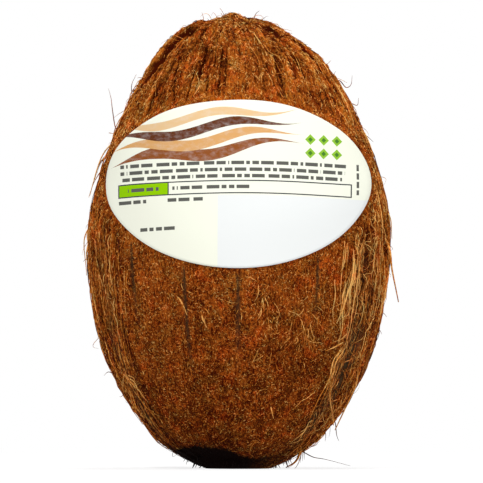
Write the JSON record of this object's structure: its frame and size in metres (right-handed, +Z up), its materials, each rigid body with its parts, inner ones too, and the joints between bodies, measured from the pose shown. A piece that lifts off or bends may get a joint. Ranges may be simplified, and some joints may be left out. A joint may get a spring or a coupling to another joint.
{
  "type": "coconut",
  "caption": "Whole brown coconut in its rough fibre husk, pointed at the top, standing on a small flat spot, with a plain oval paper label round the front.",
  "frame": {"origin": "middle of the small flat spot that the nut stands on", "axes": "+Z up through the pointed end, the label faces -Y, +X is to the right as the label is seen"},
  "size_m": [0.1085, 0.1032, 0.157],
  "materials": {
    "husk_fibre": "matte",
    "label_paper": "satin"
  },
  "bodies": {
    "root": {"husk": "husk_fibre", "label": "label_paper"}
  },
  "joints": []
}
